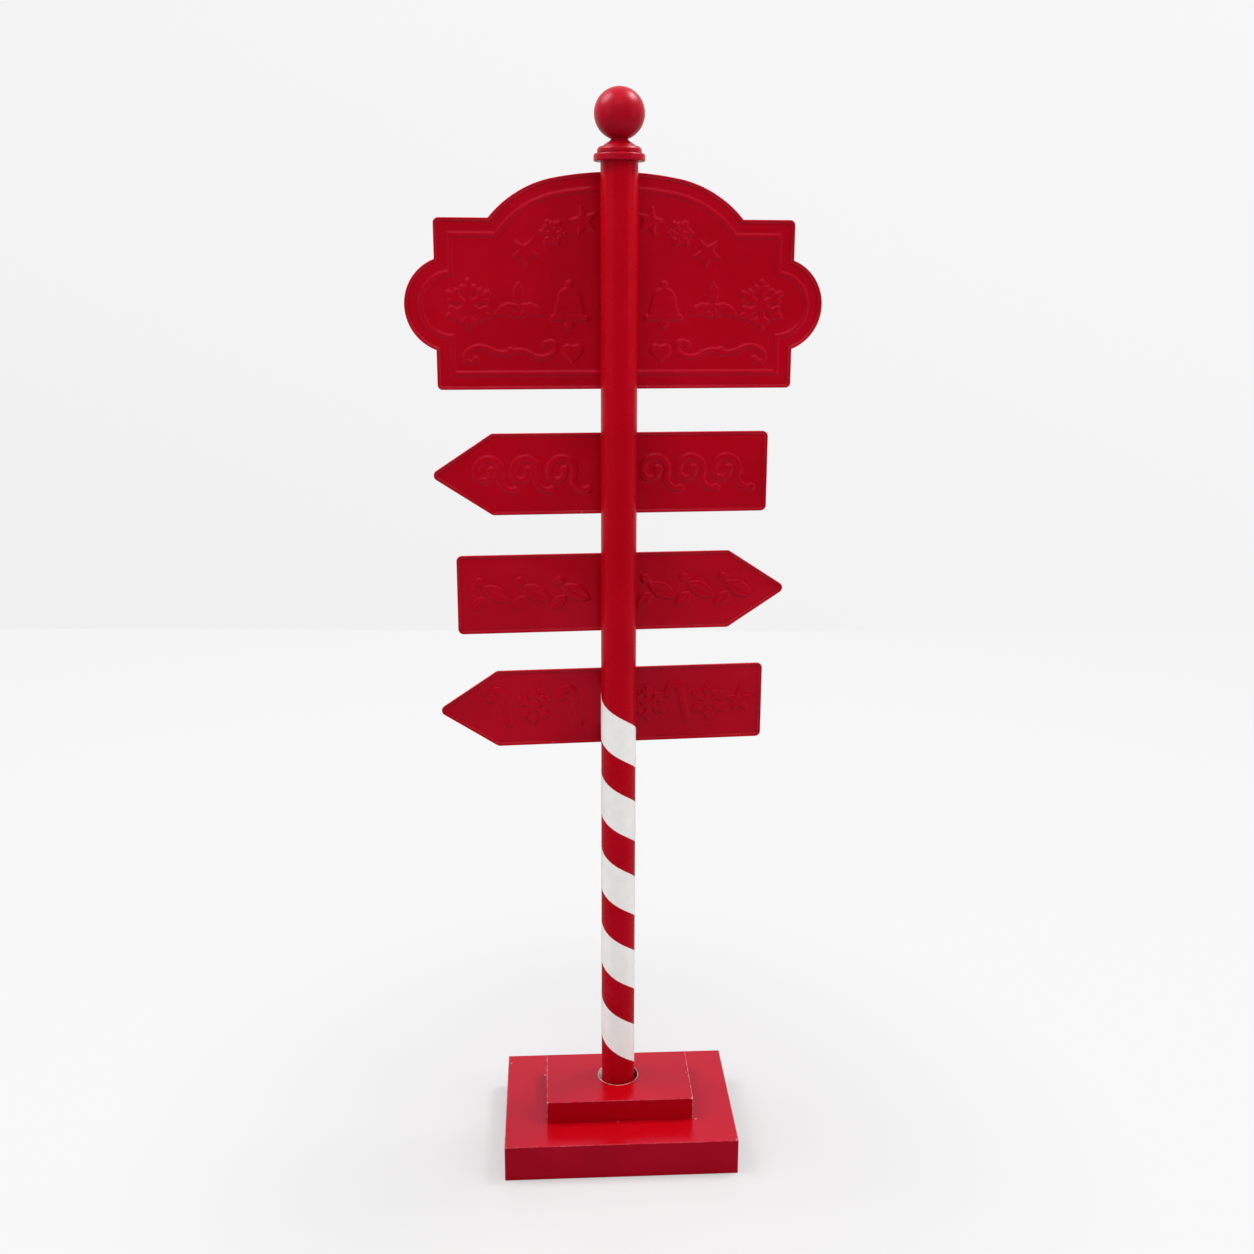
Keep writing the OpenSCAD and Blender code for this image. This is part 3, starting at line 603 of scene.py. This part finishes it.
def makeBoard(name, board):
    isSign = "ornaments" in board
    row = signRow(board) if isSign else board["row"]
    loop, depthOf = (signLoop, signDepth) if isSign else (arrowLoop, arrowDepth)
    section = hemSection()
    rings = [loop(inset) for inset, _, _ in section]
    count = len(rings[0])

    # Points of the flat: close together on the flanks of the relief, wide apart elsewhere
    step = sheet["fine"]
    low, high = rings[0].min(0), rings[0].max(0)
    columns = np.arange(math.floor(low[0] / step) - 1, math.ceil(high[0] / step) + 2)
    lines = np.arange(math.floor(low[1] / step / 0.866) - 1, math.ceil(high[1] / step / 0.866) + 2)
    i, j = [grid.ravel() for grid in np.meshgrid(columns, lines)]
    p = np.column_stack([(i + 0.5 * (j % 2)) * step, j * step * 0.866])
    keep = depthOf(p) > sheet["field"] + 0.8 * step
    p, i, j = p[keep], i[keep], j[keep]
    d, g = reliefAt(p, row, isSign)
    wide = (j % 4 == 0) & ((i + 2 * ((j // 4) % 2)) % 4 == 0)
    middle = (j % 2 == 0) & ((i + (j // 2) % 2) % 2 == 0) & ((abs(d) < 7) | (g < 4))
    close = (abs(d) < 0.5 * sheet["soft"] + 1.3) | ((g < 2.2) & (d < 1))
    keep = wide | middle | close
    p, d, g = p[keep], d[keep], g[keep]

    flat = np.vstack([rings[0], p])
    flatD, flatG = np.concatenate([np.full(count, 99.0), d]), np.concatenate([np.full(count, noGroove), g])
    _, _, triangles, origin, _, _ = delaunay_2d_cdt([Vector(q) for q in flat], [], [list(range(count))], 1, 1e-6)
    origin = [o[0] for o in origin]
    faces = np.array([[origin[k] for k in t] for t in triangles])
    a, b, c = flat[faces[:, 0]], flat[faces[:, 1]], flat[faces[:, 2]]
    area = (b[:, 0] - a[:, 0]) * (c[:, 1] - a[:, 1]) - (c[:, 0] - a[:, 0]) * (b[:, 1] - a[:, 1])
    faces[area < 0] = faces[area < 0][:, ::-1]

    soft = sheet["soft"]
    lift = smoothStep(0.5 - flatD / soft)
    hollow = smoothStep(0.5 - (flatD + 0.6) / soft)
    groove = sheet["groove"] * smoothStep(1 - flatG / 1.7) * smoothStep(-flatD / soft)
    wave = buckle(flat, depthOf(flat), board["seed"])
    wave[:count] = 0
    backW = sheet["relief"] * lift - groove + wave
    frontW = sheet["relief"] * hollow - sheet["thick"] + wave

    # All vertices: the rings of the hem, then the back's inner points, then the front's
    last = (len(section) - 1) * count
    inner = len(p)
    points = [np.column_stack([ring, np.full(count, w)]) for ring, (_, w, _) in zip(rings, section)]
    points.append(np.column_stack([p, backW[count:]]))
    points.append(np.column_stack([p, frontW[count:]]))
    points = np.vstack(points)
    backIds = np.concatenate([np.arange(count), np.arange(inner) + last + count])
    frontIds = np.concatenate([np.arange(count) + last, np.arange(inner) + last + count + inner])
    polygons = [list(t) for t in backIds[faces]] + [list(t[::-1]) for t in frontIds[faces]]
    around = np.arange(count)
    after = (around + 1) % count
    for k in range(len(section) - 1):
        quads = np.column_stack([around + k * count, around + (k + 1) * count,
                                 after + (k + 1) * count, after + k * count])
        polygons += quads.tolist()
    side = -1 if board["mirrored"] else 1
    if board["mirrored"]:
        polygons = [face[::-1] for face in polygons]
    verts = np.column_stack([side * points[:, 0] + board["slide"], sheet["back"] - points[:, 2],
                             points[:, 1] + board["height"]]) * mm

    mesh = bpy.data.meshes.new(name)
    mesh.from_pydata(verts.tolist(), [], polygons)
    rim = np.concatenate([np.full(count, share) for _, _, share in section] + [np.zeros(2 * inner)])
    mesh.attributes.new("rim", "FLOAT", "POINT").data.foreach_set("value", rim.astype(np.float32))
    mesh.shade_smooth()
    mesh.set_sharp_from_angle(angle=math.radians(48))
    mesh.materials.append(sheetPaint)
    piece = bpy.data.objects.new(name, mesh)
    bpy.context.collection.objects.link(piece)
    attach(piece, "root")
    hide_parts(board["node"])
    print(name, len(mesh.vertices), "points")


for name, board in boards.items():
    makeBoard(name, board)


# Finial: one turned piece, as a section that goes round

finial = {
    "bottom": 1465.0,
    "steps": 128,
    "ball": (34.0, 60.5),     # radius and height of its middle
    "neck": 11.7,
    "hole": (6.0, 25.0),
}


def rounded(corners):
    path = []
    for k, (x, y, r) in enumerate(corners):
        here = np.array([x, y], float)
        if r == 0 or k in (0, len(corners) - 1):
            path.append(here)
            continue
        before = np.array(corners[k - 1][:2], float) - here
        after = np.array(corners[k + 1][:2], float) - here
        before /= np.hypot(*before)
        after /= np.hypot(*after)
        cut = r / math.tan(0.5 * math.acos(np.clip(before @ after, -1, 1)))
        for t in np.linspace(0, 1, 7):
            start, end = here + cut * before, here + cut * after
            path.append((1 - t) ** 2 * start + 2 * t * (1 - t) * here + t ** 2 * end)
    return path


def makeFinial():
    holeR, holeTop = finial["hole"]
    ballR, ballZ = finial["ball"]
    neck = finial["neck"]
    section = rounded([(holeR, holeTop, 0), (holeR, 0, 0.5), (34.7, 0, 1.5), (34.7, 10.0, 3.4), (28.9, 10.1, 0.5),
                       (28.8, 10.7, 0.4), (29.85, 11.1, 0.4), (29.85, 15.4, 2.6), (27.2, 18.6, 3.0),
                       (21.9, 19.7, 1.0), (21.5, 20.7, 0.3), (20.6, 21.3, 0.5), (13.0, 26.3, 1.6),
                       (neck, 27.6, 0.5), (neck, 28.5, 0.2)])
    start = math.degrees(math.asin(neck / ballR))
    for a in np.radians(np.linspace(start, 180, 60))[1:-1]:
        section.append(np.array([ballR * math.sin(a), ballZ - ballR * math.cos(a)]))
    section = np.array(section)
    steps = finial["steps"]
    a = 2 * np.pi * np.arange(steps) / steps
    rings = [np.column_stack([r * np.cos(a), r * np.sin(a), np.full(steps, z)]) for r, z in section]
    verts = np.vstack(rings + [[(0, 0, holeTop)], [(0, 0, ballZ + ballR)]])
    verts[:, 2] += finial["bottom"]
    around = np.arange(steps)
    after = (around + 1) % steps
    faces = []
    for k in range(len(section) - 1):
        faces += np.column_stack([around + k * steps, after + k * steps,
                                  after + (k + 1) * steps, around + (k + 1) * steps]).tolist()
    floorId, topId, end = len(verts) - 2, len(verts) - 1, (len(section) - 1) * steps
    faces += [[floorId, after[k], around[k]] for k in range(steps)]
    faces += [[topId, end + around[k], end + after[k]] for k in range(steps)]
    mesh = bpy.data.meshes.new("turnedFinial")
    mesh.from_pydata((verts * mm).tolist(), [], faces)
    mesh.shade_smooth()
    mesh.set_sharp_from_angle(angle=math.radians(50))
    mesh.materials.append(finialPaint)
    piece = bpy.data.objects.new("turnedFinial", mesh)
    bpy.context.collection.objects.link(piece)
    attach(piece, "root")
    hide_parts("finial")


makeFinial()
print("finial turned")


# Geometry Nodes: a tree with named inputs, turned into a plain mesh at the end

def newTree(name, sockets):
    tree = bpy.data.node_groups.new(name, "GeometryNodeTree")
    for label, kind in sockets.items():
        tree.interface.new_socket(name=label, in_out="INPUT", socket_type="NodeSocket" + kind)
    tree.interface.new_socket(name="Mesh", in_out="OUTPUT", socket_type="NodeSocketGeometry")
    return tree, put(tree, "NodeGroupInput").outputs


def endTree(tree, shape, material):
    real = put(tree, "GeometryNodeRealizeInstances", {0: shape}).outputs[0]
    dressed = put(tree, "GeometryNodeSetMaterial", {"Geometry": real, "Material": material}).outputs[0]
    put(tree, "NodeGroupOutput", {0: dressed})


def growPiece(name, tree, values, node, sharp=35):
    piece = bpy.data.objects.new(name, bpy.data.meshes.new(name + "Start"))
    bpy.context.collection.objects.link(piece)
    modifier = piece.modifiers.new("grow", "NODES")
    modifier.node_group = tree
    for item in tree.interface.items_tree:
        if item.in_out == "INPUT" and item.name in values:
            modifier[item.identifier] = values[item.name]
    piece.update_tag()
    grown = piece.evaluated_get(bpy.context.evaluated_depsgraph_get())
    mesh = bpy.data.meshes.new_from_object(grown)
    piece.modifiers.clear()
    piece.data = mesh
    mesh.name = name
    mesh.shade_smooth()
    mesh.set_sharp_from_angle(angle=math.radians(sharp))
    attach(piece, "root")
    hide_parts(node)
    print(name, len(mesh.vertices), "points")
    return piece


# The white band falls a little faster with every turn round the pole

stripe = {
    "Pole Radius": 25.5 * mm,
    "Gap": 0.05 * mm,
    "Band Width": 51.0 * mm,
    "Band Thickness": 0.3 * mm,
    "First Height": 660.5 * mm,
    "Fall": 116.0 * mm,
    "Stretch": 3.0 * mm,
    "Lean": 3.0 * mm,         # how far the hand-wound band rises on its right
    "Start Turn": -0.42,
    "End Turn": 4.7,
    "Lowest": 56.5 * mm,
    "Steps": 420,
    "Film": whiteFilm,
}


def stripeTree():
    tree, given = newTree("windBand", {label: "Int" if label == "Steps" else "Material" if label == "Film"
                                       else "Float" for label in stripe})
    grid = put(tree, "GeometryNodeMeshGrid", {"Size X": 1.0, "Size Y": 1.0, "Vertices X": given["Steps"],
                                              "Vertices Y": 5}).outputs["Mesh"]
    place = put(tree, "ShaderNodeSeparateXYZ", {0: put(tree, "GeometryNodeInputPosition").outputs[0]}).outputs
    span = calc(tree, "SUBTRACT", given["End Turn"], given["Start Turn"])
    turns = calc(tree, "MULTIPLY_ADD", calc(tree, "ADD", place[0], 0.5), span, given["Start Turn"])
    angle = calc(tree, "MULTIPLY_ADD", turns, 2 * math.pi, -math.pi / 2)
    fallen = calc(tree, "MULTIPLY", turns, calc(tree, "MULTIPLY_ADD", calc(tree, "MULTIPLY", turns, 0.5),
                                                given["Stretch"], given["Fall"]))
    middle = calc(tree, "SUBTRACT", given["First Height"], fallen)
    round1 = calc(tree, "MULTIPLY", given["Pole Radius"], 2 * math.pi)
    slope = calc(tree, "DIVIDE", calc(tree, "MULTIPLY_ADD", turns, given["Stretch"], given["Fall"]), round1)
    longer = calc(tree, "SQRT", calc(tree, "MULTIPLY_ADD", slope, slope, 1.0))
    height = calc(tree, "MULTIPLY_ADD", calc(tree, "MULTIPLY", place[1], given["Band Width"]), longer, middle)
    cosine, sine = calc(tree, "COSINE", angle), calc(tree, "SINE", angle)
    height = calc(tree, "MAXIMUM", calc(tree, "MULTIPLY_ADD", given["Lean"], cosine, height), given["Lowest"])
    out = calc(tree, "ADD", given["Pole Radius"], given["Gap"])
    wound = put(tree, "ShaderNodeCombineXYZ", {0: calc(tree, "MULTIPLY", out, cosine),
                                               1: calc(tree, "MULTIPLY", out, sine), 2: height}).outputs[0]
    band = put(tree, "GeometryNodeSetPosition", {"Geometry": grid, "Position": wound}).outputs[0]
    flat = vectorCalc(tree, "MULTIPLY", put(tree, "GeometryNodeInputPosition").outputs[0], (1, 1, 0))
    skin = put(tree, "GeometryNodeExtrudeMesh", {"Mesh": band, "Offset": vectorCalc(tree, "NORMALIZE", flat),
                                                 "Offset Scale": given["Band Thickness"],
                                                 "Individual": False}, mode="FACES").outputs["Mesh"]
    inside = put(tree, "GeometryNodeFlipFaces", {"Mesh": band}).outputs[0]
    joined = put(tree, "GeometryNodeJoinGeometry", {0: skin})
    tree.links.new(inside, joined.inputs[0])
    closed = put(tree, "GeometryNodeMergeByDistance", {"Geometry": joined.outputs[0], "Distance": 0.00001}).outputs[0]
    endTree(tree, closed, given["Film"])
    return tree


growPiece("woundStripe", stripeTree(), stripe, "white_stripe")


# Pan-head screws through the boards, heads on the front

screw = {
    "Head Width": 8.0 * mm,
    "Head Height": 2.6 * mm,
    "Shank Width": 4.0 * mm,
    "Shank Length": 32.0 * mm,
    "Recess": 4.6 * mm,
    "Metal": zincSteel,
}
screwRows = {
    "topBoardScrews": ("top_board_screws", 1278, 3, 80),
    "upperArrowScrews": ("upper_arrow_screws", 1044, 2, 56),
    "middleArrowScrews": ("middle_arrow_screws", 870, 2, 56),
    "lowerArrowScrews": ("lower_arrow_screws", 697, 2, 56),
}


def screwTree():
    sockets = {label: "Material" if label == "Metal" else "Float" for label in screw}
    tree, given = newTree("screwRow", sockets | {"Count": "Int", "Spacing": "Float", "Middle": "Vector"})
    radius = calc(tree, "MULTIPLY", given["Head Width"], 0.5)
    plain = calc(tree, "MULTIPLY", given["Head Height"], 0.8)
    puck = put(tree, "GeometryNodeMeshCylinder", {"Vertices": 40, "Side Segments": 6, "Fill Segments": 5,
                                                  "Radius": radius, "Depth": plain},
               fill_type="TRIANGLE_FAN").outputs["Mesh"]
    where = put(tree, "GeometryNodeInputPosition").outputs[0]
    parts = put(tree, "ShaderNodeSeparateXYZ", {0: where}).outputs
    rise = calc(tree, "ADD", calc(tree, "DIVIDE", parts[2], plain), 0.5)
    rise3 = calc(tree, "POWER", calc(tree, "MAXIMUM", rise, 0.0), 3.0)
    narrow = calc(tree, "MULTIPLY_ADD", rise3, -0.22, 1.0)
    out = calc(tree, "DIVIDE", vectorCalc(tree, "LENGTH", vectorCalc(tree, "MULTIPLY", where, (1, 1, 0))), radius)
    bulge = calc(tree, "MULTIPLY_ADD", calc(tree, "MULTIPLY", out, out), -1.0, 1.0)
    up = calc(tree, "MULTIPLY", calc(tree, "MULTIPLY", bulge, rise3),
              calc(tree, "MULTIPLY", given["Head Height"], 0.2))
    lifted = calc(tree, "ADD", calc(tree, "MULTIPLY_ADD", plain, 0.5, parts[2]), up)
    domed = put(tree, "ShaderNodeCombineXYZ", {0: calc(tree, "MULTIPLY", parts[0], narrow),
                                               1: calc(tree, "MULTIPLY", parts[1], narrow), 2: lifted}).outputs[0]
    head = put(tree, "GeometryNodeSetPosition", {"Geometry": puck, "Position": domed}).outputs[0]
    cut = put(tree, "GeometryNodeMeshBoolean", {"Mesh 1": head}, operation="DIFFERENCE", solver="EXACT")
    thin = calc(tree, "MULTIPLY", given["Recess"], 0.22)
    for first, second in ((given["Recess"], thin), (thin, given["Recess"])):
        size = put(tree, "ShaderNodeCombineXYZ", {0: first, 1: second, 2: plain}).outputs[0]
        bar = put(tree, "GeometryNodeMeshCube", {"Size": size}).outputs["Mesh"]
        shift = put(tree, "ShaderNodeCombineXYZ", {2: given["Head Height"]}).outputs[0]
        moved = put(tree, "GeometryNodeTransform", {"Geometry": bar, "Translation": shift}).outputs[0]
        tree.links.new(moved, cut.inputs["Mesh 2"])
    shankRadius = calc(tree, "MULTIPLY", given["Shank Width"], 0.5)
    shank = put(tree, "GeometryNodeMeshCylinder", {"Vertices": 24, "Radius": shankRadius,
                                                   "Depth": given["Shank Length"]}).outputs["Mesh"]
    down = put(tree, "ShaderNodeCombineXYZ", {2: calc(tree, "MULTIPLY", given["Shank Length"], -0.4999)}).outputs[0]
    shank = put(tree, "GeometryNodeTransform", {"Geometry": shank, "Translation": down}).outputs[0]
    whole = put(tree, "GeometryNodeJoinGeometry", {0: cut.outputs["Mesh"]})
    tree.links.new(shank, whole.inputs[0])
    step = put(tree, "ShaderNodeCombineXYZ", {2: given["Spacing"]}).outputs[0]
    below = calc(tree, "MULTIPLY", calc(tree, "SUBTRACT", given["Count"], 1.0), -0.5)
    first = put(tree, "ShaderNodeCombineXYZ", {2: calc(tree, "MULTIPLY", below, given["Spacing"])}).outputs[0]
    start = vectorCalc(tree, "ADD", first, given["Middle"])
    row = put(tree, "GeometryNodeMeshLine", {"Count": given["Count"], "Start Location": start,
                                             "Offset": step}).outputs[0]
    placed = put(tree, "GeometryNodeInstanceOnPoints", {"Points": row, "Instance": whole.outputs[0],
                                                        "Rotation": (-math.pi / 2, 0, 0)}).outputs[0]
    spin = put(tree, "FunctionNodeRandomValue", {"Seed": 7}, data_type="FLOAT")
    spin.inputs[2].default_value, spin.inputs[3].default_value = 0.0, 1.5
    turn = put(tree, "ShaderNodeCombineXYZ", {2: spin.outputs[1]}).outputs[0]
    turnedRow = put(tree, "GeometryNodeRotateInstances", {"Instances": placed, "Rotation": turn}).outputs[0]
    endTree(tree, turnedRow, given["Metal"])
    return tree


screws = screwTree()
for name, (node, height, count, spacing) in screwRows.items():
    row = {"Count": count, "Spacing": spacing * mm, "Middle": (0, (sheet["back"] + sheet["thick"]) * mm, height * mm)}
    growPiece(name, screws, screw | row, node, sharp=30)


# CAD pieces that stay as they are get their finish

finishes = {
    "base_lower_tier": lowerTierPaint,
    "base_upper_tier": upperTierPaint,
    "pole": polePaint,
    "base_tier_screws": zincSteel,
    "pole_bolt": zincSteel,
    "pole_washer": zincSteel,
    "pole_insert": insertBrass,
    "finial_dowel": beech,
}
for name, material in finishes.items():
    node = nodes[name]
    node.data.materials.clear()
    node.data.materials.append(material)
    for face in node.data.polygons:
        face.material_index = 0
print("pieces finished")


# Floor, whose far edge is the line behind the post, and a plain white surround

studio = {
    "floorFar": 3.15,
    "floorNear": 4.0,
    "floorSide": 9.0,
    "heading": 7.3,           # degrees that the view is turned about Z
    "floorTint": (0.52, 0.506, 0.512, 1),
    "floorBounce": (0.42, 0.42, 0.42, 1),
    "floorMirror": (0.12, 0.12, 0.12, 1),
    "floorGlow": 0.945,
    "farDim": 0.02,
    "glowNear": 0.35,
    "glowFar": 0.97,
    "glowMirror": 0.35,       # the same, as gloss sees it
    "surround": 0.901,
    "ambient": 0.38,
    "darkSide": 0.01,         # what gloss sees behind the camera
    "brightSide": 0.76,
    "ceiling": 0.7,
}


def makeFloor():
    turn = Matrix.Rotation(math.radians(-studio["heading"]), 3, "Z")
    far, near, side = studio["floorFar"], -studio["floorNear"], studio["floorSide"]
    corners = [turn @ Vector(c) for c in ((-side, near, 0), (side, near, 0), (side, far, 0), (-side, far, 0))]
    mesh = bpy.data.meshes.new("studioFloor")
    mesh.from_pydata([(c.x, c.y, -0.0003) for c in corners], [], [(0, 1, 2, 3)])
    floor = bpy.data.objects.new("studioFloor", mesh)
    bpy.context.collection.objects.link(floor)
    material, tree, shader, where = newMaterial("paleFloor")
    rays = put(tree, "ShaderNodeLightPath").outputs
    away = vectorCalc(tree, "LENGTH", where)
    tint = blendColor(tree, rays["Is Glossy Ray"], studio["floorBounce"], studio["floorMirror"])
    tint = blendColor(tree, rays["Is Camera Ray"], tint, studio["floorTint"])
    tree.links.new(tint, shader.inputs["Base Color"])
    tree.links.new(ramp(tree, noise(tree, where, 1.8, 4.0), 0.3, 0.7, 0.3, 0.4), shader.inputs["Roughness"])
    shader.inputs["Specular IOR Level"].default_value = 0.45
    level = ramp(tree, away, 2.2, 3.4, studio["floorGlow"], studio["floorGlow"] - studio["farDim"])
    glow = put(tree, "ShaderNodeEmission", {"Color": (1, 1, 1, 1), "Strength": level})
    seen = calc(tree, "MULTIPLY", rays["Is Camera Ray"],
                ramp(tree, away, 0.15, 0.85, studio["glowNear"], studio["glowFar"]))
    mirrored = calc(tree, "MAXIMUM", rays["Is Glossy Ray"], rays["Is Transmission Ray"])
    mirrored = calc(tree, "MULTIPLY", mirrored, ramp(tree, away, 1.2, 2.6, 0.0, studio["glowMirror"]))
    share = calc(tree, "MAXIMUM", seen, mirrored)
    mixed = put(tree, "ShaderNodeMixShader", {0: share, 1: shader.outputs[0], 2: glow.outputs[0]})
    output = next(n for n in tree.nodes if n.type == "OUTPUT_MATERIAL")
    tree.links.new(mixed.outputs[0], output.inputs["Surface"])
    mesh.materials.append(material)


def makeSurround():
    world = bpy.data.worlds.new("paleStudio")
    bpy.context.scene.world = world
    world.use_nodes = True
    tree = world.node_tree
    tree.nodes.clear()
    rays = put(tree, "ShaderNodeLightPath").outputs
    aim = put(tree, "ShaderNodeTexCoord").outputs["Generated"]
    parts = put(tree, "ShaderNodeSeparateXYZ", {0: aim}).outputs
    gloss = ramp(tree, parts[1], -0.3, 0.55, studio["darkSide"], studio["brightSide"])
    gloss = calc(tree, "MAXIMUM", gloss, ramp(tree, parts[2], 0.4, 0.85, 0.0, studio["ceiling"]))
    wall = calc(tree, "MULTIPLY_ADD", parts[2], 0.09, studio["surround"])
    wall = calc(tree, "MINIMUM", calc(tree, "MULTIPLY_ADD", parts[0], 0.04, wall), 0.95)
    level = ramp(tree, rays["Is Glossy Ray"], 0, 1, studio["ambient"], gloss, smooth=False)
    level = ramp(tree, rays["Is Camera Ray"], 0, 1, level, wall, smooth=False)
    back = put(tree, "ShaderNodeBackground", {"Color": (1, 1, 1, 1), "Strength": level})
    put(tree, "ShaderNodeOutputWorld", {"Surface": back.outputs[0]})


makeFloor()
makeSurround()

lamps = {
    "ceilingLeft": {"at": (-2.05, 0.4, 3.9), "to": (0, 0, 1.1), "shape": "ELLIPSE", "size": (1.9, 1.9),
                    "power": 96, "shiny": True},
    "ceilingRight": {"at": (1.92, 0.48, 4.02), "to": (0, 0, 1.1), "shape": "ELLIPSE", "size": (1.4, 1.15),
                     "power": 100, "shiny": True},
    "frontSoft": {"at": (-0.3, -1.9, 2.1), "to": (0, 0, 1.0), "shape": "RECTANGLE", "size": (2.4, 1.5),
                  "power": 5, "shiny": False},
    "frontHigh": {"at": (-0.2, -2.2, 3.9), "to": (0, 0, 0.9), "shape": "RECTANGLE", "size": (2.0, 1.6),
                  "power": 42, "shiny": False},
    "sideLeft": {"at": (-2.2, -1.3, 1.8), "to": (0, 0, 0.9), "shape": "RECTANGLE", "size": (1.2, 1.8),
                 "power": 16, "shiny": False},
    "sideRight": {"at": (2.2, -1.1, 1.8), "to": (0, 0, 0.9), "shape": "RECTANGLE", "size": (1.2, 1.8),
                  "power": 24, "shiny": False},
}


def makeLamp(name, lamp):
    light = bpy.data.lights.new(name, "AREA")
    light.shape = lamp["shape"]
    light.size, light.size_y = lamp["size"]
    light.energy = lamp["power"]
    obj = bpy.data.objects.new(name, light)
    obj.location = lamp["at"]
    obj.rotation_euler = (Vector(lamp["to"]) - Vector(lamp["at"])).to_track_quat("-Z", "Y").to_euler()
    obj.visible_glossy = lamp["shiny"]
    bpy.context.collection.objects.link(obj)


for name, lamp in lamps.items():
    makeLamp(name, lamp)
print("studio lit")


# Camera at the photographer's chest height, a little left of the post's middle

view = {
    "at": (-0.2318535, -1.9045255, 1.3161637),
    "right": (0.99198236, -0.12633583, 0.003201),
    "up": (0.02835402, 0.24717479, 0.96855597),
    "lens": 36 * 1364.155 / 1254,
}
camera = bpy.data.cameras.new("photoView")
camera.sensor_width = 36
camera.sensor_fit = "HORIZONTAL"
camera.lens = view["lens"]
cameraObject = bpy.data.objects.new("photoView", camera)
right, up = Vector(view["right"]), Vector(view["up"])
turn = Matrix((right, up, right.cross(up))).transposed().to_4x4()
cameraObject.matrix_world = Matrix.Translation(view["at"]) @ turn
bpy.context.collection.objects.link(cameraObject)
bpy.context.scene.camera = cameraObject
bpy.context.scene.view_settings.view_transform = "Standard"

bpy.context.view_layer.update()
print("all set")
